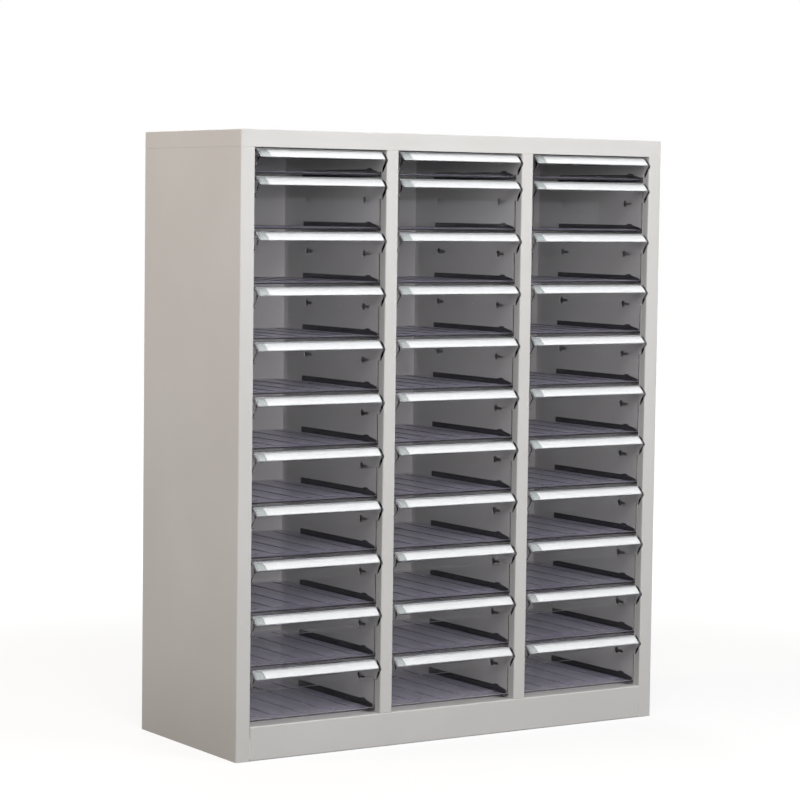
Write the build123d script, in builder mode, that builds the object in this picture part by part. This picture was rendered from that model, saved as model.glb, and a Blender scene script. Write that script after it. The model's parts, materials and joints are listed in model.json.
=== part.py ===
"""Steel filing cabinet with three columns of clear plastic document drawers.

Millimetres. +Z is up, +X runs to the right seen from the front, and the drawers slide out along -Y.
The origin is on the floor, under the middle of the whole cabinet with its drawer lips.
Heights are measured from the floor, and depths are measured back from the cabinet's front face.
"""

import os
from math import asin, atan2, cos, degrees, hypot, radians, sin, tan

from build123d import *

# Steel carcass
sheet = 1.0
bend_radius = 1.5
seam = 0.2
sheet_gap = 0.3
carcass_depth = 344.0
stile_width = 27.0
stile_return = 15.0
partition_width = 24.5
top_rail = 29.0
rail_return = 15.0
plinth_height = 59.0
ledge_depth = 22.0
rear_flange = 20.0
foot_flange = 15.0
pan_flange = 20.0

# Drawer grid: every opening is a ladder of equal units, one for a shallow drawer and two for a deep one
columns = 3
opening_width = 259.0
unit_height = 46.2
shallow_units = 1
deep_units = 2
deep_rows = 10
floor_gap = 3.8

# Keyholes: a round hole to the rear of a narrow slot, and a small locating hole between each pair
keyhole_height = 6.8
keyhole_diameter = 12.0
slot_width = 4.8
slot_travel = 17.0
stud_depth = 53.0
stud_spacing = 192.0
locating_depth = 147.0
locating_diameter = 3.0

# Runners: moulded angles with two mushroom studs, and a stop above the front one
runner_front = 17.0
runner_length = 255.0
runner_web = 2.2
runner_height = 13.6
runner_nose_height = 8.0
runner_nose_taper = 29.0
runner_foot = 10.0
foot_thickness = 2.0
foot_corner = 6.0
runner_play = 0.2
stop_height = 2.2
stop_length = 9.0
stop_ramp = 4.0
stud_diameter = 4.4
stud_head_diameter = 9.0
stud_head_thickness = 1.5
stud_grip_play = 0.2

# Drawer trays: moulded in one piece, with a beak-shaped lip along the whole front
tray_wall = 2.0
tray_side_gap = 1.1
glide_gap = 0.3
tray_recess = 9.0
tray_rear_gap = 5.0
tray_side_drop = 4.0
tray_corner = 4.0
lip_side_gap = 1.4
lip_proud = 6.0
lip_tip_drop = 17.8
lip_foot_drop = 38.0
lip_bulge = 2.0
lip_nose = 2.5
ridge_drop = 1.8
ridge_depth = 14.0
ridge_shelf = 8.0
panel_count = 5
panel_width = 26.5
panel_pitch = 53.0
panel_corner = 9.0
panel_height = 1.2
panel_front_margin = 29.0
panel_rear_margin = 16.0

# Label on the sloping upper face of each lip: a paper card under a clear cover
card_thickness = 0.3
card_gap = 0.1
card_height = 17.0
card_left_inset = 22.0
card_right_inset = 4.0
card_above_tip = 2.2
cover_thickness = 0.6
cover_height = 19.4
cover_inset = 3.5
cover_corner = 3.0

# Sizes that follow from the driving ones
units = shallow_units + deep_units * deep_rows
lowest_unit = plinth_height + floor_gap
opening_top = lowest_unit + units * unit_height
cabinet_height = opening_top + top_rail
cabinet_width = 2 * stile_width + columns * opening_width + (columns - 1) * partition_width
overall_depth = carcass_depth + lip_proud
front_y = lip_proud - overall_depth / 2
back_y = front_y + carcass_depth
middle_y = (front_y + back_y) / 2
side_x = cabinet_width / 2
wall_x = side_x - stile_width
column_pitch = opening_width + partition_width
column_x = [(i - (columns - 1) / 2) * column_pitch for i in range(columns)]
partition_x = [x + column_pitch / 2 for x in column_x[:-1]]
bend_outside = bend_radius + sheet
bend_middle = bend_radius + sheet / 2
skin_height = opening_top - seam
cap_underside = cabinet_height - sheet
pan_top = plinth_height - sheet
back_panel_y = back_y - 2 * sheet
liner_front_y = front_y + stile_return + sheet_gap
inner_rear_y = back_panel_y - sheet_gap
wall_height = cap_underside - sheet_gap - pan_top

os.makedirs("parts", exist_ok=True)


# Side skins: each is one folded sheet that makes the outer side, the front stile down to the floor,
# the lip that turns back from the stile, a rear flange and a foot flange.
with BuildPart() as side_skin_left:
    with BuildSketch(Plane.XY):
        with BuildLine():
            FilletPolyline(
                (-wall_x - sheet / 2, front_y + stile_return),
                (-wall_x - sheet / 2, front_y + sheet / 2),
                (-side_x + sheet / 2, front_y + sheet / 2),
                (-side_x + sheet / 2, back_y - sheet / 2),
                (-side_x + rear_flange, back_y - sheet / 2),
                radius=bend_middle,
            )
        trace(line_width=sheet)
    extrude(amount=skin_height)
    with BuildSketch(Plane.XY):
        with Locations((-side_x + sheet / 2, middle_y)):
            Rectangle(
                foot_flange - sheet / 2,
                carcass_depth - 2 * bend_outside,
                align=(Align.MIN, Align.CENTER),
            )
    extrude(amount=sheet)
side_skin_left.part.label = "side_skin_left"
export_step(side_skin_left.part, "parts/side_skin_left.step")

with BuildPart() as side_skin_right:
    mirror(side_skin_left.part, about=Plane.YZ)
side_skin_right.part.label = "side_skin_right"
export_step(side_skin_right.part, "parts/side_skin_right.step")


# Top cover: a cap over the whole carcass, whose front flange is the top rail. A lip turns back
# from that flange over each opening.
with BuildPart() as top_cover:
    with BuildSketch(Plane.XY.offset(opening_top)):
        with Locations((0, middle_y)):
            RectangleRounded(cabinet_width, carcass_depth, bend_outside)
    extrude(amount=top_rail)
    fillet(top_cover.faces().sort_by(Axis.Z)[-1].edges(), radius=bend_radius)
    with BuildSketch(Plane.XY.offset(opening_top)):
        with Locations((0, middle_y)):
            RectangleRounded(cabinet_width - 2 * sheet, carcass_depth - 2 * sheet, bend_radius)
    extrude(amount=top_rail - sheet, mode=Mode.SUBTRACT)
    with BuildSketch(Plane.XY.offset(opening_top)):
        with Locations([(x, front_y + sheet / 2) for x in column_x]):
            Rectangle(
                opening_width - 2 * sheet_gap,
                rail_return - sheet / 2,
                align=(Align.CENTER, Align.MIN),
            )
    extrude(amount=sheet)
top_cover.part.label = "top_cover"
export_step(top_cover.part, "parts/top_cover.step")


# Floor pan: the bottom of the drawer space, with flanges turned down along its edges. Its front
# corners are cut back to clear the stiles.
pan_half_width = side_x - sheet - sheet_gap
pan_front_half_width = wall_x - sheet_gap
pan_front_y = front_y + bend_outside + sheet_gap
with BuildPart() as floor_pan:
    with BuildSketch(Plane.XY.offset(pan_top)):
        with Locations((0, inner_rear_y)):
            Rectangle(
                2 * pan_half_width,
                inner_rear_y - liner_front_y,
                align=(Align.CENTER, Align.MAX),
            )
            Rectangle(
                2 * pan_front_half_width,
                inner_rear_y - pan_front_y,
                align=(Align.CENTER, Align.MAX),
            )
    extrude(amount=-pan_flange)
    with BuildSketch(Plane.XY.offset(pan_top - sheet)):
        with Locations((0, inner_rear_y - sheet)):
            Rectangle(
                2 * (pan_half_width - sheet),
                inner_rear_y - liner_front_y - 2 * sheet,
                align=(Align.CENTER, Align.MAX),
            )
            Rectangle(
                2 * (pan_front_half_width - sheet),
                inner_rear_y - pan_front_y - 2 * sheet,
                align=(Align.CENTER, Align.MAX),
            )
    extrude(amount=-pan_flange, mode=Mode.SUBTRACT)
floor_pan.part.label = "floor_pan"
export_step(floor_pan.part, "parts/floor_pan.step")


# Plinth: a folded channel between the stiles. Its top fold lies on the pan as the ledge in front of
# the lowest drawers, and its bottom fold stands on the floor.
with BuildPart() as plinth_front:
    with BuildSketch(Plane.YZ.offset(seam - wall_x)):
        with BuildLine():
            FilletPolyline(
                (front_y + foot_flange, sheet / 2),
                (front_y + sheet / 2, sheet / 2),
                (front_y + sheet / 2, plinth_height - sheet / 2),
                (front_y + ledge_depth, plinth_height - sheet / 2),
                radius=bend_middle,
            )
        trace(line_width=sheet)
    extrude(amount=2 * (wall_x - seam))
plinth_front.part.label = "plinth_front"
export_step(plinth_front.part, "parts/plinth_front.step")


# Back panel: a flat sheet inside the rear flanges of the skins and the cap.
with BuildPart() as back_panel:
    with BuildSketch(Plane.XY.offset(sheet + sheet_gap)):
        with Locations((0, back_panel_y)):
            Rectangle(2 * (side_x - bend_outside), sheet, align=(Align.CENTER, Align.MIN))
    extrude(amount=cap_underside - sheet - 2 * sheet_gap)
back_panel.part.label = "back_panel"
export_step(back_panel.part, "parts/back_panel.step")


# The hole pattern that every inner wall has, drawn as seen from the side: one pair of keyholes and
# one locating hole for each unit of height.
unit_levels = [lowest_unit + keyhole_height + i * unit_height for i in range(units)]
slot_ends = [front_y + stud_depth, front_y + stud_depth + stud_spacing]
with BuildSketch() as hole_pattern:
    with Locations([(y + slot_travel, z) for y in slot_ends for z in unit_levels]):
        Circle(keyhole_diameter / 2)
    with Locations([(y + slot_travel / 2, z) for y in slot_ends for z in unit_levels]):
        SlotCenterToCenter(slot_travel, slot_width)
    with Locations([(front_y + locating_depth, z) for z in unit_levels]):
        Circle(locating_diameter / 2)


# Side liners: the punched inner walls of the outer columns. Their edges are folded outwards to the
# skins, and they stand on the floor pan.
with BuildPart() as side_liner_left:
    with BuildSketch(Plane.XY.offset(pan_top)):
        with BuildLine():
            FilletPolyline(
                (-pan_half_width, liner_front_y + sheet / 2),
                (-wall_x - sheet / 2, liner_front_y + sheet / 2),
                (-wall_x - sheet / 2, inner_rear_y - sheet / 2),
                (-pan_half_width, inner_rear_y - sheet / 2),
                radius=bend_middle,
            )
        trace(line_width=sheet)
    extrude(amount=wall_height)
    with BuildSketch(Plane.YZ.offset(-wall_x)):
        add(hole_pattern.sketch)
    extrude(amount=-sheet, mode=Mode.SUBTRACT)
side_liner_left.part.label = "side_liner_left"
export_step(side_liner_left.part, "parts/side_liner_left.step")

with BuildPart() as side_liner_right:
    mirror(side_liner_left.part, about=Plane.YZ)
side_liner_right.part.label = "side_liner_right"
export_step(side_liner_right.part, "parts/side_liner_right.step")


# Partitions: hollow posts folded from one sheet, open at the rear, with their front face flush with
# the rail. They are notched at the bottom for the ledge and at the top for the cap's front flange.
for name, x in zip(("partition_left", "partition_right"), partition_x):
    edge_x = (partition_width - sheet) / 2
    with BuildPart() as partition:
        with BuildSketch(Plane.XY.offset(pan_top)):
            with BuildLine():
                FilletPolyline(
                    (x - edge_x, inner_rear_y),
                    (x - edge_x, front_y + sheet / 2),
                    (x + edge_x, front_y + sheet / 2),
                    (x + edge_x, inner_rear_y),
                    radius=bend_middle,
                )
            trace(line_width=sheet)
        extrude(amount=wall_height)
        with BuildSketch(Plane.XY.offset(pan_top)):
            with Locations((x, front_y)):
                Rectangle(
                    partition_width,
                    ledge_depth + sheet_gap,
                    align=(Align.CENTER, Align.MIN),
                )
        extrude(amount=sheet + seam, mode=Mode.SUBTRACT)
        with BuildSketch(Plane.XY.offset(skin_height)):
            with Locations((x, front_y)):
                Rectangle(
                    partition_width,
                    sheet + sheet_gap,
                    align=(Align.CENTER, Align.MIN),
                )
        extrude(amount=top_rail, mode=Mode.SUBTRACT)
        with BuildSketch(Plane.YZ.offset(x - partition_width / 2)):
            add(hole_pattern.sketch)
        extrude(amount=partition_width, mode=Mode.SUBTRACT)
    partition.part.label = name
    export_step(partition.part, f"parts/{name}.step")


# One runner, drawn at the foot of a wall on its left: x from the wall's face, y from the cabinet's
# front face and z from the bottom of its unit. The studs pass through the slots and their heads
# sit behind the sheet.
runner_rear = runner_front + runner_length
stop_front = stud_depth - stop_length / 2
with BuildPart() as runner:
    with BuildSketch(Plane.YZ.offset(runner_play)):
        with BuildLine():
            Polyline(
                (runner_front, 0),
                (runner_front, runner_nose_height),
                (runner_front + runner_nose_taper, runner_height),
                (stop_front, runner_height + stop_height),
                (stop_front + stop_length, runner_height + stop_height),
                (stop_front + stop_length + stop_ramp, runner_height),
                (runner_rear, runner_height),
                (runner_rear, 0),
                close=True,
            )
        make_face()
    extrude(amount=runner_web)
    with BuildSketch(Plane.XY) as foot_outline:
        with Locations((runner_play, runner_front)):
            Rectangle(runner_foot, runner_length, align=(Align.MIN, Align.MIN))
        fillet(foot_outline.vertices().group_by(Axis.X)[-1], radius=foot_corner)
    extrude(amount=foot_thickness)
    with BuildSketch(Plane.YZ.offset(runner_play)):
        with Locations([(stud_depth + i * stud_spacing, keyhole_height) for i in range(2)]):
            Circle(stud_diameter / 2)
    extrude(amount=-(runner_play + sheet + stud_grip_play + stud_head_thickness / 2))
    with BuildSketch(Plane.YZ.offset(-sheet - stud_grip_play)):
        with Locations([(stud_depth + i * stud_spacing, keyhole_height) for i in range(2)]):
            Circle(stud_head_diameter / 2)
    extrude(amount=-stud_head_thickness)

with BuildPart() as mirrored_runner:
    mirror(runner.part, about=Plane.YZ)


# The foot of each drawer's space, and the number of units it is tall, from the top row down
row_units = [shallow_units] + [deep_units] * deep_rows
row_foot = [opening_top - unit_height * sum(row_units[: i + 1]) for i in range(len(row_units))]

# Runner sets: one runner for each drawer on each side of each column
column_names = ("left", "middle", "right")
for column, x in zip(column_names, column_x):
    for side, sign, moulding in (("left", -1, runner), ("right", 1, mirrored_runner)):
        face_x = x + sign * opening_width / 2
        with BuildPart() as runner_set:
            with Locations([(face_x, front_y, z) for z in row_foot]):
                add(moulding.part)
        name = f"runners_{column}_column_{side}_wall"
        runner_set.part.label = name
        export_step(runner_set.part, f"parts/{name}.step")


# Trays: drawn about their own column and row, with x from the column's middle, y from the cabinet's
# front face and z from the top of the drawer's space. The front wall leans out to the lip's rounded
# nose, where fingers pull it from below, and bulges on its way back up to the ridge. In front of the
# runners the lip is wider than the tray behind it, so that its solid cheeks nearly fill the opening.
tray_width = opening_width - 2 * (runner_play + runner_web + tray_side_gap)
lip_width = opening_width - 2 * lip_side_gap
tray_rear = carcass_depth - 2 * sheet - tray_rear_gap
shelf_rear = ridge_depth + ridge_shelf
panel_span = tray_rear - tray_recess - panel_front_margin - panel_rear_margin
panel_middle_y = tray_recess + panel_front_margin + panel_span / 2
trays = []
for height_units in (shallow_units, deep_units):
    tray_bottom = foot_thickness + glide_gap - height_units * unit_height
    with BuildPart() as tray:
        with BuildSketch(Plane.YZ.offset(-tray_width / 2)) as side_outline:
            with BuildLine():
                Polyline(
                    (ridge_depth, -ridge_drop),
                    (shelf_rear, -ridge_drop),
                    (shelf_rear, -tray_side_drop),
                    (tray_rear, -tray_side_drop),
                    (tray_rear, tray_bottom),
                    (tray_recess, tray_bottom),
                    (tray_recess, -lip_foot_drop),
                    (-lip_proud, -lip_tip_drop),
                )
                SagittaArc((-lip_proud, -lip_tip_drop), (ridge_depth, -ridge_drop), lip_bulge)
            make_face()
            fillet(side_outline.vertices().group_by(Axis.X)[0], radius=lip_nose)
        extrude(amount=tray_width)
        fillet(tray.edges().filter_by(Axis.Z).group_by(Axis.Y)[-1], radius=tray_corner)
        with BuildSketch(Plane.YZ.offset(-lip_width / 2)):
            add(side_outline.sketch_local)
            with Locations((ridge_depth, 0)):
                Rectangle(
                    ridge_depth + lip_proud,
                    lip_foot_drop,
                    align=(Align.MAX, Align.MAX),
                    mode=Mode.INTERSECT,
                )
        extrude(amount=lip_width)
        with BuildSketch(Plane.YZ.offset(tray_wall - tray_width / 2)):
            offset(side_outline.sketch_local, amount=-tray_wall, kind=Kind.INTERSECTION)
            with Locations((shelf_rear, 0)):
                Rectangle(
                    tray_rear - tray_wall - shelf_rear,
                    tray_side_drop + 2 * tray_wall,
                    align=(Align.MIN, Align.MAX),
                )
        extrude(amount=tray_width - 2 * tray_wall, mode=Mode.SUBTRACT)
        with BuildSketch(Plane.XY.offset(tray_bottom + tray_wall)):
            with Locations((0, panel_middle_y)):
                with GridLocations(panel_pitch, 0, panel_count, 1):
                    RectangleRounded(panel_width, panel_span, panel_corner)
        extrude(amount=panel_height)
    trays.append(tray.part)


# Label card and cover: they bend with the lip's upper face, about the same centre, and are placed by
# how far along it they start from the tip. The cover starts where its outer face is level with the
# tip, and nothing stands further forward.
lip_rise = lip_tip_drop - ridge_drop
lip_run = ridge_depth + lip_proud
lip_chord = hypot(lip_run, lip_rise)
lip_radius = (lip_chord**2 / 4 + lip_bulge**2) / (2 * lip_bulge)
lip_half_turn = degrees(asin(lip_chord / 2 / lip_radius))
lip_slope = degrees(atan2(lip_rise, lip_run))
tip_angle = lip_slope + lip_half_turn + 90
lip_centre = (
    -lip_proud - lip_radius * cos(radians(tip_angle)),
    -lip_tip_drop - lip_radius * sin(radians(tip_angle)),
)
card_width = tray_width - card_left_inset - card_right_inset
cover_width = tray_width - 2 * cover_inset
cover_level = 2 * card_gap + card_thickness
cover_foot = (cover_level + cover_thickness) * tan(radians(lip_slope + lip_half_turn))
label_pieces = []
for left_x, width, level, thickness, foot, height in (
    (card_left_inset - tray_width / 2, card_width, card_gap, card_thickness, card_above_tip, card_height),
    (-cover_width / 2, cover_width, cover_level, cover_thickness, cover_foot, cover_height),
):
    with BuildPart() as label_piece:
        with BuildSketch(Plane.YZ.offset(left_x)):
            with BuildLine():
                CenterArc(
                    lip_centre,
                    lip_radius + level + thickness / 2,
                    tip_angle - degrees((foot + height) / lip_radius),
                    degrees(height / lip_radius),
                )
            trace(line_width=thickness)
        extrude(amount=width)
    label_pieces.append(label_piece)
label_card, label_cover = label_pieces
with label_cover:
    fillet(label_cover.edges().group_by(SortBy.LENGTH)[0], radius=cover_corner)


# Drawers: each is a tray with its card and cover, in its own column and row
for column, x in zip(column_names, column_x):
    for row, height_units in enumerate(row_units):
        row_top = row_foot[row] + height_units * unit_height
        with BuildPart() as drawer:
            with Locations((x, front_y, row_top)):
                add(trays[0] if height_units == shallow_units else trays[1])
                add(label_card.part)
                add(label_cover.part)
        name = f"drawer_{column}_{row + 1:02d}"
        drawer.part.label = name
        export_step(drawer.part, f"parts/{name}.step")
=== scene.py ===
"""The looks of a steel filing cabinet with three columns of clear plastic document drawers.

Metres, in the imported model's frame: +Z is up, +X is to the right seen from the front, the drawers
slide out along -Y and the floor is at z = 0.
"""

import json
import math

import bmesh
import bpy
import numpy as np
from mathutils import Matrix, Vector

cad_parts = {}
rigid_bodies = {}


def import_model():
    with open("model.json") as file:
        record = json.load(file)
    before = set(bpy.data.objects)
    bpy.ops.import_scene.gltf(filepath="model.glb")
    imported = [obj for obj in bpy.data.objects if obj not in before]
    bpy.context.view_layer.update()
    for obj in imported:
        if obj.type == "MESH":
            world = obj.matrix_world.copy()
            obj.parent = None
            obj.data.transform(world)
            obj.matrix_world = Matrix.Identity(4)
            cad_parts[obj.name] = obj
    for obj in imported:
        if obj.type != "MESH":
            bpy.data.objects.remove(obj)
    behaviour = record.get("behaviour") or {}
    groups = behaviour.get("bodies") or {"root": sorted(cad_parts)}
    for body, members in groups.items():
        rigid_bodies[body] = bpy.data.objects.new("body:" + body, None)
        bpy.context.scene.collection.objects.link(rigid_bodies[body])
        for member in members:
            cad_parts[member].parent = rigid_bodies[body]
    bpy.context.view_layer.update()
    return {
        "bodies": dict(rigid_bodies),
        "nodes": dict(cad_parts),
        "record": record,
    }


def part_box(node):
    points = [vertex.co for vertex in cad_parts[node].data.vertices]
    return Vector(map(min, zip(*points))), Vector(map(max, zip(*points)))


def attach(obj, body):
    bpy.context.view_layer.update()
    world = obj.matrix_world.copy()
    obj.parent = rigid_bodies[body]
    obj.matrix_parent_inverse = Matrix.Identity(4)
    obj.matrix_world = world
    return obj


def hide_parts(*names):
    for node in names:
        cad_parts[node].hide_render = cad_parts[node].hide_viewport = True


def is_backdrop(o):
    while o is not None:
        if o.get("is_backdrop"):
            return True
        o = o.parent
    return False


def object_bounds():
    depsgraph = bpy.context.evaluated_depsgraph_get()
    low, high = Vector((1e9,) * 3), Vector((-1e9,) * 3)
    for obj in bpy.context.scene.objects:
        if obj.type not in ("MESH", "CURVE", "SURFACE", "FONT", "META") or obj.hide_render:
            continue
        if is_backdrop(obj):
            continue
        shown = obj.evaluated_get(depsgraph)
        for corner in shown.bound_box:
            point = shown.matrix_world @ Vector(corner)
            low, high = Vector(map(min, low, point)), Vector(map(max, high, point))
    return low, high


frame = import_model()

mm = 0.001

# Camera: it stands about five metres off at the front left, a little lower than the cabinet's top, with
# a long lens, so that the cabinet's edges stay nearly parallel.
eye = Vector((-2.663, -4.104, 0.940))
yaw, pitch, roll = (math.radians(a) for a in (32.86, -4.11, 0.75))
camera = bpy.data.objects.new("camera", bpy.data.cameras.new("camera"))
bpy.context.collection.objects.link(camera)
camera.data.lens = 122.3
camera.data.sensor_width = 36.0
ahead = Vector((math.sin(yaw) * math.cos(pitch), math.cos(yaw) * math.cos(pitch), math.sin(pitch)))
level = Vector((math.cos(yaw), -math.sin(yaw), 0.0))
upright = level.cross(ahead)
right = math.cos(roll) * level + math.sin(roll) * upright
up = math.cos(roll) * upright - math.sin(roll) * level
camera.matrix_world = Matrix.Translation(eye) @ Matrix((right, up, -ahead)).transposed().to_4x4()
bpy.context.scene.camera = camera
bpy.context.scene.view_settings.view_transform = "Standard"


# Studio: a pale floor, and a white backdrop that clear plastic and mirrors show too, while mirrors see
# the studio in front as dim. Two large soft lamps light the front evenly, a warmer one the left side, and
# weaker ones the rear and the top. A glow from the front left reaches into the drawers.
def shader_tree(material):
    """The node tree of a new material or world, emptied, with its output node."""
    material.use_nodes = True
    tree = material.node_tree
    tree.nodes.clear()
    kind = "ShaderNodeOutputWorld" if isinstance(material, bpy.types.World) else "ShaderNodeOutputMaterial"
    return tree, tree.nodes.new(kind)


def node(tree, kind, sockets=(), **settings):
    """A new node with these settings, whose input sockets take a value or the output socket given."""
    made = tree.nodes.new("ShaderNode" + kind)
    for setting, value in settings.items():
        setattr(made, setting, value)
    for socket, value in dict(sockets).items():
        if isinstance(value, bpy.types.NodeSocket):
            tree.links.new(value, made.inputs[socket])
        else:
            made.inputs[socket].default_value = value
    return made


def seen_ray(tree, *rays):
    """1 where the ray is of one of the kinds named, as the largest of their Light Path outputs."""
    path = node(tree, "LightPath")
    mask = path.outputs[rays[0]]
    for ray in rays[1:]:
        mask = node(tree, "Math", {0: mask, 1: path.outputs[ray]}, operation="MAXIMUM").outputs[0]
    return mask


white = (1.0, 1.0, 1.0, 1.0)
sky_light, glow_light, dim_studio = 0.08, 0.6, 0.04
backdrop_side, glow_side = (0.0, 1.0, 0.6), (-0.75, -0.66, 0.1)
world = bpy.data.worlds.new("studio")
bpy.context.scene.world = world
tree, output = shader_tree(world)
bearing = node(tree, "TexCoord").outputs["Generated"]
towards = node(tree, "VectorMath", {0: bearing, 1: backdrop_side}, operation="DOT_PRODUCT")
backdrop = node(
    tree,
    "MapRange",
    {"Value": towards.outputs["Value"], "From Min": -0.3, "From Max": 0.3, "To Min": dim_studio},
    interpolation_type="SMOOTHSTEP",
)
aside = node(tree, "VectorMath", {0: bearing, 1: glow_side}, operation="DOT_PRODUCT")
glow = node(
    tree,
    "MapRange",
    {"Value": aside.outputs["Value"], "From Min": 0.3, "To Min": sky_light, "To Max": glow_light},
    interpolation_type="SMOOTHSTEP",
)
lighting = node(tree, "Background", {"Color": white, "Strength": glow.outputs[0]})
mirrored = node(tree, "Background", {"Color": white, "Strength": backdrop.outputs[0]})
seen = node(tree, "Background", {"Color": white, "Strength": 1.0})
glossy = seen_ray(tree, "Is Glossy Ray")
unseen = node(tree, "MixShader", {0: glossy, 1: lighting.outputs[0], 2: mirrored.outputs[0]})
shown = seen_ray(tree, "Is Camera Ray", "Is Transmission Ray")
sky = node(tree, "MixShader", {0: shown, 1: unseen.outputs[0], 2: seen.outputs[0]})
tree.links.new(sky.outputs[0], output.inputs["Surface"])

# The floor glows white for the eye, and for mirrors where it lies behind the cabinet. The glow is less
# near the cabinet, so that its shadow shows there. Other mirrors see the floor as dim.
floor_reach, floor_shade = 9.0, 0.25
near_lift, far_lift, lift_start, lift_end = 0.78, 1.0, 1.0, 2.5
floor_mesh = bpy.data.meshes.new("studio_floor")
floor_corners = [(floor_reach * x, floor_reach * y, 0.0) for x, y in ((-1, -1), (1, -1), (1, 1), (-1, 1))]
floor_mesh.from_pydata(floor_corners, [], [(0, 1, 2, 3)])
studio_floor = bpy.data.objects.new("studio_floor", floor_mesh)
bpy.context.collection.objects.link(studio_floor)
floor_paint = bpy.data.materials.new("studio_floor")
tree, output = shader_tree(floor_paint)
spot = node(tree, "TexCoord").outputs["Object"]
depth = node(tree, "SeparateXYZ", {0: spot}).outputs["Y"]
behind = node(tree, "MapRange", {"Value": depth}, interpolation_type="SMOOTHSTEP")
glossy = seen_ray(tree, "Is Glossy Ray")
in_mirrors = node(tree, "Math", {0: behind.outputs[0], 1: glossy}, operation="MULTIPLY")
shown = seen_ray(tree, "Is Camera Ray", "Is Transmission Ray")
strength = node(tree, "Math", {0: in_mirrors.outputs[0], 1: shown}, operation="MAXIMUM")
reach = node(tree, "VectorMath", {0: spot}, operation="LENGTH").outputs["Value"]
backing = node(
    tree,
    "MapRange",
    {"Value": reach, "From Min": lift_start, "From Max": lift_end, "To Min": near_lift, "To Max": far_lift},
    interpolation_type="SMOOTHSTEP",
)
lifted = node(tree, "Math", {0: strength.outputs[0], 1: backing.outputs[0]}, operation="MULTIPLY")
shade = node(tree, "MapRange", {"Value": glossy, "To Min": floor_shade, "To Max": dim_studio})
matte = node(tree, "BsdfDiffuse", {"Color": shade.outputs[0]})
lift = node(tree, "Emission", {"Color": white, "Strength": lifted.outputs[0]})
both = node(tree, "AddShader", {0: matte.outputs[0], 1: lift.outputs[0]})
tree.links.new(both.outputs[0], output.inputs["Surface"])
floor_mesh.materials.append(floor_paint)
studio_floor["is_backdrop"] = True

# Each lamp has its place, the point it is turned to, its width, its power in watts and its colour.
lamps = {
    "front_left_softbox": ((-1.0, -2.15, 1.55), (0.0, 0.0, 0.8), 1.4, 28.0, (1.0, 0.998, 0.996)),
    "front_right_softbox": ((1.0, -2.15, 1.55), (0.0, 0.0, 0.8), 1.4, 27.0, (0.992, 0.996, 1.0)),
    "left_softbox": ((-2.6, 0.35, 2.4), (-0.4, 0.05, 1.1), 1.2, 30.0, (1.0, 0.83, 0.7)),
    "rear_softbox": ((0.7, 2.6, 1.9), (0.1, 0.2, 0.8), 1.4, 28.0, (1.0, 1.0, 1.0)),
    "ceiling_softbox": ((0.0, -0.3, 3.4), (0.0, 0.0, 1.0), 2.6, 20.0, (1.0, 1.0, 1.0)),
}
for name, (place, target, width, power, colour) in lamps.items():
    lamp = bpy.data.objects.new(name, bpy.data.lights.new(name, "AREA"))
    bpy.context.collection.objects.link(lamp)
    lamp.data.size = width
    lamp.data.energy = power
    lamp.data.color = colour
    lamp.matrix_world = Matrix.Translation(place) @ (
        (Vector(target) - Vector(place)).to_track_quat("-Z", "Y").to_matrix().to_4x4()
    )


# Steel: the carcass is folded from 1 mm sheet, spot-welded and powder-coated in one light grey. The
# coat has a fine orange-peel texture and is very slightly cloudy. Along its folds it is painted brighter,
# partly as rubbed coat and partly as a painted highlight where the folds catch the light.
def principled(name, **values):
    """A material with one Principled shader and these values on its own sockets."""
    material = bpy.data.materials.new(name)
    tree, output = shader_tree(material)
    shader = node(tree, "BsdfPrincipled", {socket.replace("_", " "): v for socket, v in values.items()})
    tree.links.new(shader.outputs[0], output.inputs["Surface"])
    return material, tree, shader


def node_group(name, inputs, outputs):
    """An empty group with float inputs at these values and float outputs: its tree and its two ends."""
    tree = bpy.data.node_groups.new(name, "ShaderNodeTree")
    for socket, value in inputs.items():
        made = tree.interface.new_socket(socket, in_out="INPUT", socket_type="NodeSocketFloat")
        made.default_value = value
    for socket in outputs:
        tree.interface.new_socket(socket, in_out="OUTPUT", socket_type="NodeSocketFloat")
    return tree, tree.nodes.new("NodeGroupInput"), tree.nodes.new("NodeGroupOutput")


def place_group(tree, group, sockets):
    """The group as a node of this tree, with these values on its inputs."""
    made = node(tree, "Group", node_tree=group)
    for socket, value in sockets.items():
        made.inputs[socket].default_value = value
    return made


# The surface's own pattern: grain is noise as fine as the finish, clouds is noise of the size of a hand.
surface_grain, start, end = node_group(
    "surface_grain", {"Grain Scale": 500.0, "Cloud Scale": 6.0}, ["Grain", "Clouds"]
)
spot = node(surface_grain, "TexCoord").outputs["Object"]
for size, result, detail in (("Grain Scale", "Grain", 1.0), ("Cloud Scale", "Clouds", 3.0)):
    scale = start.outputs[size]
    noise = node(surface_grain, "TexNoise", {"Vector": spot, "Scale": scale, "Detail": detail})
    surface_grain.links.new(noise.outputs["Fac"], end.inputs[result])

# Wear and a painted sheen are high along an edge: there the normal that a bevel of this width would have
# leaves the face's own. Noise then breaks it into patches.
edge_wear_and_sheen, start, end = node_group("edge_wear_and_sheen", {"Width": 0.001, "Patch Scale": 40.0}, ["Wear"])
rounded = node(edge_wear_and_sheen, "Bevel", {"Radius": start.outputs["Width"]}, samples=4)
flat = node(edge_wear_and_sheen, "NewGeometry").outputs["Normal"]
turned = node(edge_wear_and_sheen, "VectorMath", {0: rounded.outputs[0], 1: flat}, operation="DOT_PRODUCT")
near_edge = node(
    edge_wear_and_sheen,
    "MapRange",
    {"Value": turned.outputs["Value"], "From Min": 0.995, "From Max": 0.9, "To Min": 0.0, "To Max": 1.0},
)
spot = node(edge_wear_and_sheen, "TexCoord").outputs["Object"]
scale = start.outputs["Patch Scale"]
patches = node(edge_wear_and_sheen, "TexNoise", {"Vector": spot, "Scale": scale, "Detail": 2.0})
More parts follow.
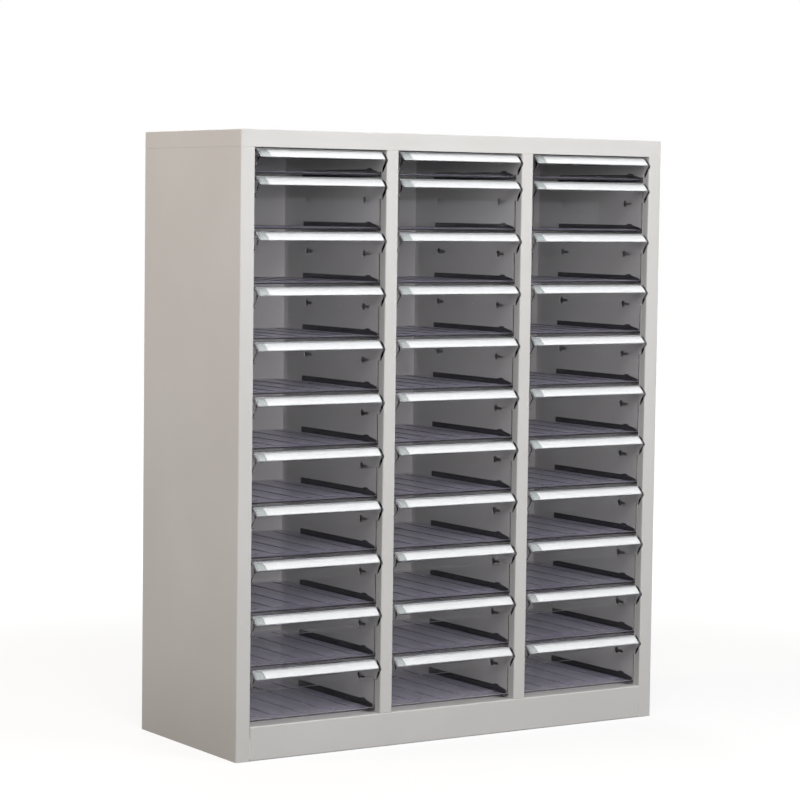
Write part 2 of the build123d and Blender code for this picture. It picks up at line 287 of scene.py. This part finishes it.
worn_and_sheen = node(edge_wear_and_sheen, "Math", {0: near_edge.outputs[0], 1: patches.outputs["Fac"]}, operation="MULTIPLY")
edge_wear_and_sheen.links.new(worn_and_sheen.outputs[0], end.inputs["Wear"])


def finish(tree, shader, colour, cloud, worn_and_sheen, wear_and_sheen, roughness, grain, peel, clouds=6.0, edge=0.001):
    """Colour, roughness and grain of a solid finish.

    The colour runs over the clouds from itself to its cloud tone, and takes the worn tone by a share of
    the edge mark, which is partly wear and partly a painted highlight. The roughness runs between two
    values with the clouds, and the grain, so many waves to the metre and peel metres deep, tilts the
    surface.
    """
    pattern = place_group(tree, surface_grain, {"Grain Scale": grain, "Cloud Scale": clouds})
    edge_marks = place_group(tree, edge_wear_and_sheen, {"Width": edge})
    soft = node(tree, "MapRange", {"Value": pattern.outputs["Clouds"], "From Min": 0.3, "From Max": 0.7})
    tones = {"Factor": soft.outputs[0], 6: colour + (1.0,), 7: cloud + (1.0,)}
    coat = node(tree, "Mix", tones, data_type="RGBA")
    # The edge mark lays a paler tone on the edges: partly wear, partly a painted highlight.
    share = node(tree, "Math", {0: edge_marks.outputs["Wear"], 1: wear_and_sheen}, operation="MULTIPLY")
    tones = {"Factor": share.outputs[0], 6: coat.outputs[2], 7: worn_and_sheen + (1.0,)}
    rubbed_and_lit = node(tree, "Mix", tones, data_type="RGBA")
    low, high = roughness
    rough = node(tree, "MapRange", {"Value": pattern.outputs["Clouds"], "To Min": low, "To Max": high})
    bump = node(tree, "Bump", {"Height": pattern.outputs["Grain"], "Distance": peel, "Strength": 1.0})
    tree.links.new(rubbed_and_lit.outputs[2], shader.inputs["Base Color"])
    tree.links.new(rough.outputs[0], shader.inputs["Roughness"])
    tree.links.new(bump.outputs[0], shader.inputs["Normal"])


# The worn tone, paler than the coat, is partly rubbed coat and partly a painted highlight along the folds.
steel_paint, tree, shader = principled("powder_coated_steel")
finish(
    tree,
    shader,
    colour=(0.655, 0.645, 0.63),
    cloud=(0.625, 0.612, 0.595),
    worn_and_sheen=(0.8, 0.79, 0.77),
    wear_and_sheen=0.6,
    roughness=(0.38, 0.5),
    grain=450.0,
    peel=0.00002,
    clouds=5.0,
)
cabinet_nodes = frame["record"]["behaviour"]["bodies"]["cabinet"]
for name in cabinet_nodes:
    if not name.startswith("runners"):
        mesh = frame["nodes"][name].data
        mesh.materials.clear()
        mesh.materials.append(steel_paint)


# Runners: moulded in near-black plastic, with a satin skin that is paler along its edges, partly rubbed
# by the drawers and partly a painted sheen.
runner_plastic, tree, shader = principled("runner_moulding")
finish(
    tree,
    shader,
    colour=(0.024, 0.024, 0.027),
    cloud=(0.032, 0.031, 0.035),
    worn_and_sheen=(0.09, 0.09, 0.095),
    wear_and_sheen=0.7,
    roughness=(0.4, 0.6),
    grain=1400.0,
    peel=0.00001,
    clouds=30.0,
    edge=0.0006,
)
for name in cabinet_nodes:
    if name.startswith("runners"):
        mesh = frame["nodes"][name].data
        mesh.materials.clear()
        mesh.materials.append(runner_plastic)


# Trays: each is moulded in one piece of clear, faintly smoky polystyrene, 2 mm thick. The front wall
# leans out to the lip's round nose and bulges on its way back to the ridge, cheeks close the ends of
# the lip, and five panels stand up from the floor so that sheets can be lifted. Sizes are in millimetres,
# depths are from the cabinet's front face and drops from the top of the drawer's space.
wall = 2.0
lip_proud, lip_bulge, lip_nose = 6.0, 2.0, 2.5
tip_drop, foot_drop, front_depth = 17.8, 38.0, 9.0
ridge_drop, ridge_depth, shelf_rear = 1.8, 14.0, 22.0
rim_drop, rear_depth = 4.0, 337.0
half_tray, cheek = 126.0, 2.1
front_corner, rear_corner = 6.0, 4.0
panel_centres = 53.0 * np.arange(-2, 3)
panel_half_width, panel_corner, panel_height, panel_ramp = 13.25, 9.0, 1.2, 2.4
panel_front, panel_rear = 38.0, 321.0
# The radii on which the skins turn in side view, and how far a skin runs on beyond the end of its arc.
rear_turn, front_turn, floor_turn, shelf_turn, rim_turn, ridge_turn = 4.0, 2.5, 3.0, 0.6, 1.0, 0.5
run_out = 0.1
# The width over which the floor's frost fades at the walls, and its strength in channels and loss on ramps.
frost_fade, channel_frost, ramp_dip = 6.0, 0.85, 0.7

lip_chord = np.array([ridge_depth + lip_proud, tip_drop - ridge_drop])
lip_length = np.linalg.norm(lip_chord)
lip_radius = (lip_length**2 / 4 + lip_bulge**2) / (2 * lip_bulge)
lip_turn = 2 * math.asin(lip_length / 2 / lip_radius)
tip_angle = math.atan2(lip_chord[1], lip_chord[0]) + lip_turn / 2 + math.pi / 2
lip_tip = np.array([-lip_proud, -tip_drop])
lip_centre = lip_tip - lip_radius * np.array([math.cos(tip_angle), math.sin(tip_angle)])


def on_lip(along, across, out):
    """Points on the lip's upper face: along it from the column's middle, across it from the tip up the
    arc that it follows in side view, and out from it on that arc's radius."""
    angle = tip_angle - across / lip_radius
    reach = lip_radius + out
    depth = lip_centre[0] + reach * np.cos(angle)
    height = lip_centre[1] + reach * np.sin(angle)
    return np.stack([along, depth, height], axis=-1)


def rounded_path(corners, radii, steps=6):
    """The path through these corners, each inner one turned on an arc of its own radius.

    An arc starts and ends its radius times the tangent of half the turn from its corner, and its points
    lie at even angles about its centre, which is on the line that halves the corner.
    """
    corners, radius = np.array(corners, float), np.array(radii, float)[:, None, None]
    back, on = corners[:-2] - corners[1:-1], corners[2:] - corners[1:-1]
    back, on = ((d / np.linalg.norm(d, axis=1, keepdims=True))[:, None] for d in (back, on))
    turn = math.pi - np.arccos((back * on).sum(axis=-1, keepdims=True))
    halfway = (back + on) / np.linalg.norm(back + on, axis=-1, keepdims=True)
    to_centre = halfway * radius / np.cos(turn / 2)
    first, last = (d * radius * np.tan(turn / 2) - to_centre for d in (back, on))
    share = np.linspace(0, 1, steps)[None, :, None]
    arc = (np.sin((1 - share) * turn) * first + np.sin(share * turn) * last) / np.sin(turn)
    arcs = (corners[1:-1, None] + to_centre + arc).reshape(-1, 2)
    path = np.concatenate([corners[:1], arcs, corners[-1:]])
    apart = np.linalg.norm(np.diff(path, axis=0), axis=1) > 1e-6
    return path[np.concatenate([[True], apart])]


def inset(corners, walls):
    """Where the stretches of this path cross once each is moved to its inner side by its own wall.

    Two stretches cross at the point whose distance along each one's inward normal is that of their
    common corner plus that stretch's wall.
    """
    corners, walls = np.array(corners, float), np.array(walls, float)
    along = np.diff(corners, axis=0)
    along /= np.linalg.norm(along, axis=1)[:, None]
    inward = np.stack([along[:, 1], -along[:, 0]], axis=1)
    pairs = np.stack([inward[:-1], inward[1:]], axis=1)
    reach = np.einsum("cij,cj->ci", pairs, corners[1:-1]) + np.stack([walls[:-1], walls[1:]], axis=1)
    return np.linalg.solve(pairs, reach[..., None])[..., 0]


def grid_faces(rows, columns, start=0):
    """The four corners of each cell of a grid whose points are numbered row by row from start."""
    first = start + (np.arange(rows - 1)[:, None] * columns + np.arange(columns - 1)).ravel()
    return np.stack([first, first + 1, first + columns + 1, first + columns], axis=1)


def panel_rise(x, y):
    """How far the floor stands up at x, y: each panel is a rectangle with round corners, and from its
    edge inwards the height follows a smooth step over the ramp."""
    offset = np.abs(x[..., None] - panel_centres).min(axis=-1) - (panel_half_width - panel_corner)
    middle, half = (panel_front + panel_rear) / 2, (panel_rear - panel_front) / 2 - panel_corner
    beyond = np.stack([offset, np.abs(y - middle) - half], axis=-1)
    inside = panel_corner - np.linalg.norm(np.maximum(beyond, 0), axis=-1)
    inside = np.where(beyond.max(axis=-1) < 0, panel_corner - beyond.max(axis=-1), inside)
    share = np.clip(inside / panel_ramp, 0, 1)
    return panel_height * share**2 * (3 - 2 * share)


def round_corners(x, y, half, front, rear, front_radius, rear_radius):
    """The plan's four square corners made round: u and v run from 0 to 1 across the square at a corner,
    out to its sides, and u takes the factor sqrt(1 - v**2 / 2) and v the factor sqrt(1 - u**2 / 2)."""
    for edge, inward, radius in ((front, 1, front_radius), (rear, -1, rear_radius)):
        u = np.clip(1 + (np.abs(x) - half) / radius, 0, 1)
        v = np.clip(1 - (y - edge) * inward / radius, 0, 1)
        x = x - np.sign(x) * radius * u * (1 - np.sqrt(1 - v**2 / 2))
        y = y + inward * radius * v * (1 - np.sqrt(1 - u**2 / 2))
    return x, y


def clean_mesh(name, points, faces):
    """A mesh in metres from points in millimetres, with doubles merged and all faces outwards."""
    mesh = bpy.data.meshes.new(name)
    mesh.from_pydata(np.concatenate(points) * mm, [], [f for group in faces for f in group])
    work = bmesh.new()
    work.from_mesh(mesh)
    bmesh.ops.remove_doubles(work, verts=work.verts, dist=0.01 * mm)
    bmesh.ops.recalc_face_normals(work, faces=work.faces)
    for face in work.faces:
        face.smooth = True
    work.to_mesh(mesh)
    work.free()
    return mesh


def tray_mesh(name, bottom):
    """A tray about its column's middle, the cabinet's front face and the top of its space.

    The skin outside and the skin inside are side outlines carried across the tray on the same lines,
    where the inner one also follows the panels. The side walls, flat or rolled round the corners, and
    the rim join them into one closed shell. The value "frosted" says how milky each point is.
    """
    points, faces, count = [], [], 0

    def patch(x, y, z, corners=None):
        """A grid of points, with the plan's corners made round where their sizes are given."""
        nonlocal count
        x, y, z = np.broadcast_arrays(x, y, z)
        if corners:
            x, y = round_corners(x, y, *corners)
        points.append(np.stack([x, y, z], axis=-1).reshape(-1, 3))
        faces.append(grid_faces(*x.shape, count).tolist())
        count += x.size

    def cap(x, y, z):
        """One flat face round these points."""
        nonlocal count
        points.append(np.stack(np.broadcast_arrays(x, y, z), axis=-1).astype(float))
        faces.append([list(range(count, count + len(points[-1])))])
        count += len(points[-1])

    foot, ridge = (front_depth, -foot_drop), (ridge_depth, -ridge_drop)
    shelf_end = (shelf_rear, -ridge_drop)
    across = np.linspace(0, lip_turn * lip_radius, 11)
    upper = on_lip(0 * across, across, 0 * across)[:, 1:]
    corners = [(rear_depth, -rim_drop), (rear_depth, bottom), (front_depth, bottom), foot, *upper, shelf_end]
    inner = inset(corners, [wall] * (len(corners) - 2) + [rim_drop - ridge_drop])
    inner_foot, inner_bottom = inner[2], inner[0, 1]

    outside = (half_tray, front_depth, rear_depth, front_corner, rear_corner)
    inner_half, inner_start, inner_end = half_tray - wall, front_depth + wall, rear_depth - wall
    inside = (inner_half, inner_start, inner_end, front_corner - wall, rear_corner - wall)

    # Lines across the tray: they crowd on the panels' ramps and round the corners.
    steps = np.concatenate([panel_ramp * np.linspace(-0.15, 1.1, 6), [5.0, 9.0]])
    panel_x = np.concatenate([steps - panel_half_width, [0], panel_half_width - steps[::-1]])
    corner_x = np.arange(1, 5) + inner_half - 4
    inner_x = np.concatenate([-corner_x[::-1], (panel_centres[:, None] + panel_x).ravel(), corner_x])
    wide_x = np.concatenate([-half_tray + np.arange(2), inner_x, half_tray - 1 + np.arange(2)])
    cheek_x = np.concatenate([[-half_tray - cheek], wide_x, [half_tray + cheek]])

    # The skin outside: down the rear, under the bottom and up to the lip's foot, then round the lip's beak,
    # and last the shelf behind its ridge.
    corner_y = front_depth + np.arange(3, front_corner + 1)
    under_end = (rear_depth - rear_turn - run_out, bottom)
    under = rounded_path([(rear_depth, -rim_drop), (rear_depth, bottom), under_end], [rear_turn])[:-1]
    front_end = (front_depth + front_turn + run_out, bottom)
    front = rounded_path([front_end, (front_depth, bottom), foot], [front_turn])
    low = np.concatenate([under, np.column_stack([corner_y[::-1], 0 * corner_y + bottom]), front])
    beak = rounded_path([foot, *upper], [lip_nose] + [0] * 9)
    patch(wide_x, low[:, :1], low[:, 1:], outside)
    patch(cheek_x, beak[:, :1], beak[:, 1:])
    high = rounded_path([ridge, shelf_end, (shelf_rear, -rim_drop)], [shelf_turn])
    patch(wide_x, high[:, :1], high[:, 1:])

    # The skin inside: down behind the lip, and over the floor with its panels to the rear wall.
    inner_front = rounded_path([(shelf_rear, -rim_drop), *inner[:1:-1]], [rim_turn] + [0] * 9 + [ridge_turn])
    floor_start = (inner_start + floor_turn + run_out, inner_bottom)
    floor_front = rounded_path([inner_foot, inner[1], floor_start], [floor_turn])
    ends = np.linspace(-0.5, panel_corner + 0.5, 11)
    between = np.linspace(60, 300, 5)
    floor_y = np.concatenate([[front_depth + 6], panel_front + ends, between, panel_rear - ends[::-1]])
    floor_end = (inner_end - floor_turn - run_out, inner_bottom)
    floor_rear = rounded_path([floor_end, inner[0], (inner_end, -rim_drop)], [floor_turn])
    floor = np.column_stack([floor_y, 0 * floor_y + inner_bottom])
    inner_low = np.concatenate([floor_front, floor, floor_rear])
    patch(inner_x, inner_front[:, :1], inner_front[:, 1:])
    on_floor = np.isclose(inner_low[:, 1:], inner_bottom)
    rise = np.where(on_floor, panel_rise(*np.broadcast_arrays(inner_x, inner_low[:, :1])), 0)
    patch(inner_x, inner_low[:, :1], inner_low[:, 1:] + rise, inside)

    # The rim along the rear, and then for each side its walls, the lip's cheek and the rim.
    inner_row = (inner_x, 0 * inner_x + inner_end, *inside)
    rear_rows = inner_row, (inner_x, 0 * inner_x + rear_depth, *outside)
    rim_x, rim_y = np.stack([round_corners(*row) for row in rear_rows], axis=1)
    patch(rim_x, rim_y, -rim_drop)
    for side in (-1, 1):
        wall_x, inner_wall_x, ear_x = side * half_tray, side * inner_half, side * (half_tray + cheek)
        turn_y, turn_z = low[len(under) : -1].T
        patch(wall_x, turn_y, np.stack([turn_z, 0 * turn_z - foot_drop]), outside)
        edge_x = wide_x[wide_x > half_tray - front_corner - 0.5]
        turned = round_corners(
            np.concatenate([edge_x, 0 * turn_y[:-1] + half_tray]),
            np.concatenate([0 * edge_x + front_depth, turn_y[-2::-1]]),
            *outside,
        )
        back_x = np.concatenate([[half_tray] * 2, edge_x[-2:0:-1]])
        back_y = np.concatenate([[ridge_depth], [front_depth] * (len(back_x) - 1)])
        cap(side * np.concatenate([turned[0], back_x]), np.concatenate([turned[1], back_y]), -foot_drop)
        rear_y, rear_z = under[1:].T
        patch(wall_x, rear_y, np.stack([rear_z, 0 * rear_z - rim_drop]), outside)
        outline = np.concatenate([
            [(turn_y[0], -foot_drop), (turn_y[0], bottom), (rear_y[-1], bottom), (rear_y[-1], -rim_drop)],
            high[::-1],
            [(ridge_depth, -foot_drop)],
        ])
        cap(wall_x, *outline.T)
        cap(ear_x, *np.concatenate([beak, [(ridge_depth, -foot_drop)]]).T)
        ear = [wall_x, wall_x, ear_x, ear_x]
        cap(ear, ridge_depth, [-ridge_drop, -foot_drop, -foot_drop, -ridge_drop])
        cap(ear, [front_depth, ridge_depth, ridge_depth, front_depth], -foot_drop)

        in_y, in_z = inner_low[1 : len(floor_front) + 1].T
        patch(inner_wall_x, in_y, np.stack([in_z, 0 * in_z + inner_foot[1]]), inside)
        in_edge = inner_x[inner_x > half_tray - front_corner - 0.5]
        turned = round_corners(
            np.concatenate([in_edge, 0 * in_y[1:] + inner_half]),
            np.concatenate([0 * in_edge + inner_foot[0], in_y[1:]]),
            *inside,
        )
        back_x = in_edge[:0:-1]
        step_x = np.append(turned[0], back_x)
        step_y = np.append(turned[1], 0 * back_x + inner_foot[0])
        cap(side * step_x, step_y, inner_foot[1])
        far_y, far_z = floor_rear[1:-1].T
        patch(inner_wall_x, far_y, np.stack([far_z, 0 * far_z - rim_drop]), inside)
        outline = np.concatenate([
            inner_front, [(in_y[-1], inner_foot[1])], inner_low[len(floor_front) : 1 - len(floor_rear)],
            floor_rear[1:2], [(far_y[0], -rim_drop)],
        ])
        cap(inner_wall_x, *outline.T)

        inner_rim = round_corners(0 * far_y + inner_half, far_y, *inside)
        last_x = wide_x[wide_x > inner_x[-1] - 0.1]
        outer_rim = round_corners(
            np.append(last_x, 0 * rear_y[1:] + half_tray),
            np.append(0 * last_x + rear_depth, rear_y[1:]),
            *outside,
        )
        rim_x = np.concatenate([inner_rim[0], outer_rim[0], wide_x[:-4:-1]])
        rim_y = np.concatenate([inner_rim[1], outer_rim[1], [shelf_rear] * 3])
        cap(side * rim_x, rim_y, -rim_drop)

    # Frost: the floor is milky, most on its panels, a little less in the channels between them and hardly
    # on the ramps, and it clears towards the walls.
    mesh = clean_mesh(name, points, faces)
    spots = np.empty(3 * len(mesh.vertices))
    mesh.vertices.foreach_get("co", spots)
    x, y, z = spots.reshape(-1, 3).T / mm
    on_floor = np.abs(z - inner_bottom - panel_height / 2) < panel_height / 2 + 0.05
    apart = np.minimum(inside[0] - np.abs(x), np.minimum(y - inside[1], inside[2] - y))
    raised = np.clip((z - inner_bottom) / panel_height, 0, 1)
    relief = channel_frost + (1 - channel_frost) * raised - 4 * ramp_dip * raised * (1 - raised)
    milky = on_floor * np.clip(apart / frost_fade, 0, 1) * relief
    frost = mesh.attributes.new("frosted", "FLOAT", "POINT")
    frost.data.foreach_set("value", milky.astype(np.float32))
    return mesh


def clear_plastic(name, tint, ior, haze, haze_colour, frosted=None):
    """Clear plastic with a skin that waves a little, as moulded plastic's does.

    Lamp light and light off other surfaces go straight through it, with a fifth of its tint. A share,
    haze, scatters light in its own colour, and where frosted names a value on the mesh, the share is
    multiplied by it. The index and the tint of its gloss are low, so that the inside stays in sight.
    """
    material, tree, clear = principled(
        name,
        Base_Color=tint + (1.0,),
        Roughness=0.015,
        IOR=ior,
        Transmission_Weight=1.0,
        Specular_Tint=(0.35, 0.35, 0.37, 1.0),
    )
    waves = place_group(tree, surface_grain, {"Grain Scale": 28.0, "Cloud Scale": 9.0})
    bump = node(tree, "Bump", {"Height": waves.outputs["Grain"], "Distance": 0.00008, "Strength": 1.0})
    tree.links.new(bump.outputs[0], clear.inputs["Normal"])
    scatter = node(tree, "BsdfPrincipled", {"Base Color": haze_colour + (1.0,), "Roughness": 0.35})
    mask = node(tree, "Attribute", attribute_name=frosted).outputs["Fac"] if frosted else 1.0
    thin, thick = 0.8 * haze, 1.2 * haze
    clouded = node(tree, "MapRange", {"Value": waves.outputs["Clouds"], "To Min": thin, "To Max": thick})
    share = node(tree, "Math", {0: clouded.outputs[0], 1: mask}, operation="MULTIPLY")
    body = node(tree, "MixShader", {0: share.outputs[0], 1: clear.outputs[0], 2: scatter.outputs[0]})
    faint_tint = tuple(0.8 + 0.2 * c for c in tint)
    through = node(tree, "BsdfTransparent", {"Color": faint_tint + (1.0,)})
    lamp_ray = seen_ray(tree, "Is Shadow Ray", "Is Diffuse Ray")
    surface = node(tree, "MixShader", {0: lamp_ray, 1: body.outputs[0], 2: through.outputs[0]})
    tree.links.new(surface.outputs[0], tree.nodes["Material Output"].inputs["Surface"])
    return material


tray_plastic = clear_plastic(
    "smoky_clear_plastic",
    tint=(0.965, 0.962, 0.98),
    ior=1.2,
    haze=0.65,
    haze_colour=(0.44, 0.42, 0.54),
    frosted="frosted",
)


def soften(piece, width):
    """Rounds the edges of a piece that turn by more than 25 degrees, and keeps its large faces flat."""
    bevel = piece.modifiers.new("soft_edges", "BEVEL")
    bevel.width = width * mm
    bevel.segments = 2
    bevel.limit_method = "ANGLE"
    bevel.angle_limit = math.radians(25)
    bevel.use_clamp_overlap = False
    flat = piece.modifiers.new("flat_faces", "WEIGHTED_NORMAL")
    flat.weight = 50


# Each drawer's space: the point at its top over the tray's middle and front, and how low the tray reaches.
drawer_names = sorted(b for b in frame["bodies"] if b.startswith("drawer"))
spaces = {}
for name in drawer_names:
    low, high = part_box(name)
    top = high.z + ridge_drop * mm
    corner = Vector(((low.x + high.x) / 2, high.y - rear_depth * mm, top))
    spaces[name] = (corner, round((low.z - top) / mm, 2))

tray_moulds = {bottom: tray_mesh("tray_mould", bottom) for bottom in {b for _, b in spaces.values()}}
for name, (corner, bottom) in spaces.items():
    mesh = tray_moulds[bottom].copy()
    mesh.transform(Matrix.Translation(corner))
    mesh.materials.append(tray_plastic)
    tray = bpy.data.objects.new(name.replace("drawer", "tray"), mesh)
    bpy.context.collection.objects.link(tray)
    soften(tray, 0.35)
    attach(tray, name)
    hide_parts(name)


# Label cards: strips of white paper, bent over the upper face of each lip, that end 4 mm from its right
# end. Their last few millimetres towards that end stand in for the glare off the lip's clear end, a painted
# reflection. A short pale green index card fills the rest towards the left, and neither is quite flat.
# The card's right end comes 4 mm from the lip's end; its last few millimetres are a painted reflection of
# the lip end's glare.
card_left, card_right_into_glare, card_foot, card_height = 22.0, 4.0, 2.2, 17.0
card_thickness, card_out, card_waver = 0.3, 0.42, 0.06
index_left, index_gap = 6.5, 1.2
waves_per_mm = (0.031, 0.083, 0.19, 0.37)


def paper(name, colour):
    """Uncoated card: its colour clouds a little and its fibres show as a fine, shallow grain."""
    material, tree, shader = principled(name)
    finish(
        tree,
        shader,
        colour=colour,
        cloud=tuple(0.965 * c for c in colour),
        worn_and_sheen=colour,
        wear_and_sheen=0.0,
        roughness=(0.55, 0.7),
        grain=1800.0,
        peel=0.000015,
        clouds=18.0,
        edge=0.0002,
    )
    return material


card_paper = paper("white_card", (0.95, 0.95, 0.95))
index_paper = paper("index_card", (0.33, 0.38, 0.36))


def sheet_piece(name, surface, thickness, material):
    """A thin piece whose face is this grid of points in millimetres, thickened behind it."""
    rows, columns = surface.shape[:2]
    mesh = bpy.data.meshes.new(name)
    mesh.from_pydata(surface.reshape(-1, 3) * mm, [], grid_faces(rows, columns).tolist())
    mesh.polygons.foreach_set("use_smooth", [True] * len(mesh.polygons))
    mesh.materials.append(material)
    piece = bpy.data.objects.new(name, mesh)
    bpy.context.collection.objects.link(piece)
    shell = piece.modifiers.new("thickness", "SOLIDIFY")
    shell.thickness = thickness * mm
    shell.offset = -1.0
    return piece


random = np.random.default_rng(7)
for name, (corner, _) in spaces.items():
    cut = card_left + random.uniform(-2.5, 2.5)
    slant = random.uniform(0.0, 3.0)
    phase = random.uniform(0, 2 * np.pi, 4)
    strips = {
        "card": (cut, 2 * half_tray - card_right_into_glare, 60, card_paper),
        "index_card": (index_left, cut - index_gap, 8, index_paper),
    }
    for kind, (left, right, columns, material) in strips.items():
        share, rise = np.meshgrid(np.linspace(0, 1, columns), np.linspace(0, 1, 5))
        x = left - half_tray + share * (right - left)
        x = x + slant * (0.5 - rise) * (1 - share if kind == "card" else share)
        waver = sum(np.sin(x * k + p) for k, p in zip(waves_per_mm, phase)) / len(waves_per_mm)
        surface = on_lip(x, card_foot + card_height * rise, card_out + card_waver * waver)
        surface = surface + np.array(corner) / mm
        piece = sheet_piece(name.replace("drawer", kind), surface, card_thickness, material)
        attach(piece, name)


# Label covers: clear strips with round corners, pressed on over the cards. A thick bead runs round
# their edge. Both are a little milky, the bead most, partly as milky plastic and partly as a painted
# highlight that makes the bead and the cover read white.
cover_height, cover_foot, cover_inset, cover_corner = 19.4, 1.7, 3.5, 3.0
cover_out, cover_thickness, bead = 0.5, 0.6, 0.8
cover_tint, milk_and_glint = (0.97, 0.975, 0.985), (0.9, 0.92, 0.94)
# The milky share is partly the plastic's own and partly a painted highlight on the bead and the cover.
cover_plastic = clear_plastic("label_cover_plastic", cover_tint, ior=1.45, haze=0.12, haze_colour=milk_and_glint)
bead_plastic = clear_plastic("cover_bead_plastic", cover_tint, ior=1.45, haze=0.15, haze_colour=milk_and_glint)
for name, (corner, _) in spaces.items():
    half_length, half_height = half_tray - cover_inset, cover_height / 2
    steps = np.linspace(0, cover_corner, 5)
    x = np.concatenate([-half_length + steps, np.linspace(-110, 110, 23), half_length - steps[::-1]])
    rise = np.concatenate([-half_height + steps, np.linspace(-5, 5, 6), half_height - steps[::-1]])
    x, rise = np.meshgrid(x, rise)
    over_x = np.maximum(np.abs(x) - half_length + cover_corner, 0)
    over_rise = np.maximum(np.abs(rise) - half_height + cover_corner, 0)
    round_in = np.maximum(over_x, over_rise) / np.maximum(np.hypot(over_x, over_rise), 1e-9)
    both = (over_x > 0) & (over_rise > 0)
    x = np.where(both, np.sign(x) * (half_length - cover_corner + over_x * round_in), x)
    rise = np.where(both, np.sign(rise) * (half_height - cover_corner + over_rise * round_in), rise)
    surface = on_lip(x, cover_foot + half_height + rise, np.full_like(x, cover_out + cover_thickness))
    surface = surface + np.array(corner) / mm
    cover = sheet_piece(name.replace("drawer", "label_cover"), surface, cover_thickness, cover_plastic)
    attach(cover, name)

    # The bead is a round bar carried along the cover's edge, four quarter turns joined by straight runs.
    turn = np.linspace(0, 2 * np.pi, 33)[:-1] + np.pi / 64
    run = np.array([np.cos(turn), np.sin(turn)])
    middle = np.sign(run) * (np.array([[half_length], [half_height]]) - cover_corner)
    around = np.linspace(0, 2 * np.pi, 11)[:, None]
    edge = middle[:, None] + run[:, None] * (cover_corner - bead / 2 + bead * np.cos(around))
    bead_out = cover_out + cover_thickness / 2 + bead * np.sin(around)
    ring = on_lip(edge[0], cover_foot + half_height + edge[1], bead_out)
    ring = np.concatenate([ring, ring[:, :1]], axis=1) + np.array(corner) / mm
    mesh = clean_mesh("cover_bead", [ring.reshape(-1, 3)], [grid_faces(*ring.shape[:2]).tolist()])
    mesh.materials.append(bead_plastic)
    rim = bpy.data.objects.new(name.replace("drawer", "cover_bead"), mesh)
    bpy.context.collection.objects.link(rim)
    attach(rim, name)


low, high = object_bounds()
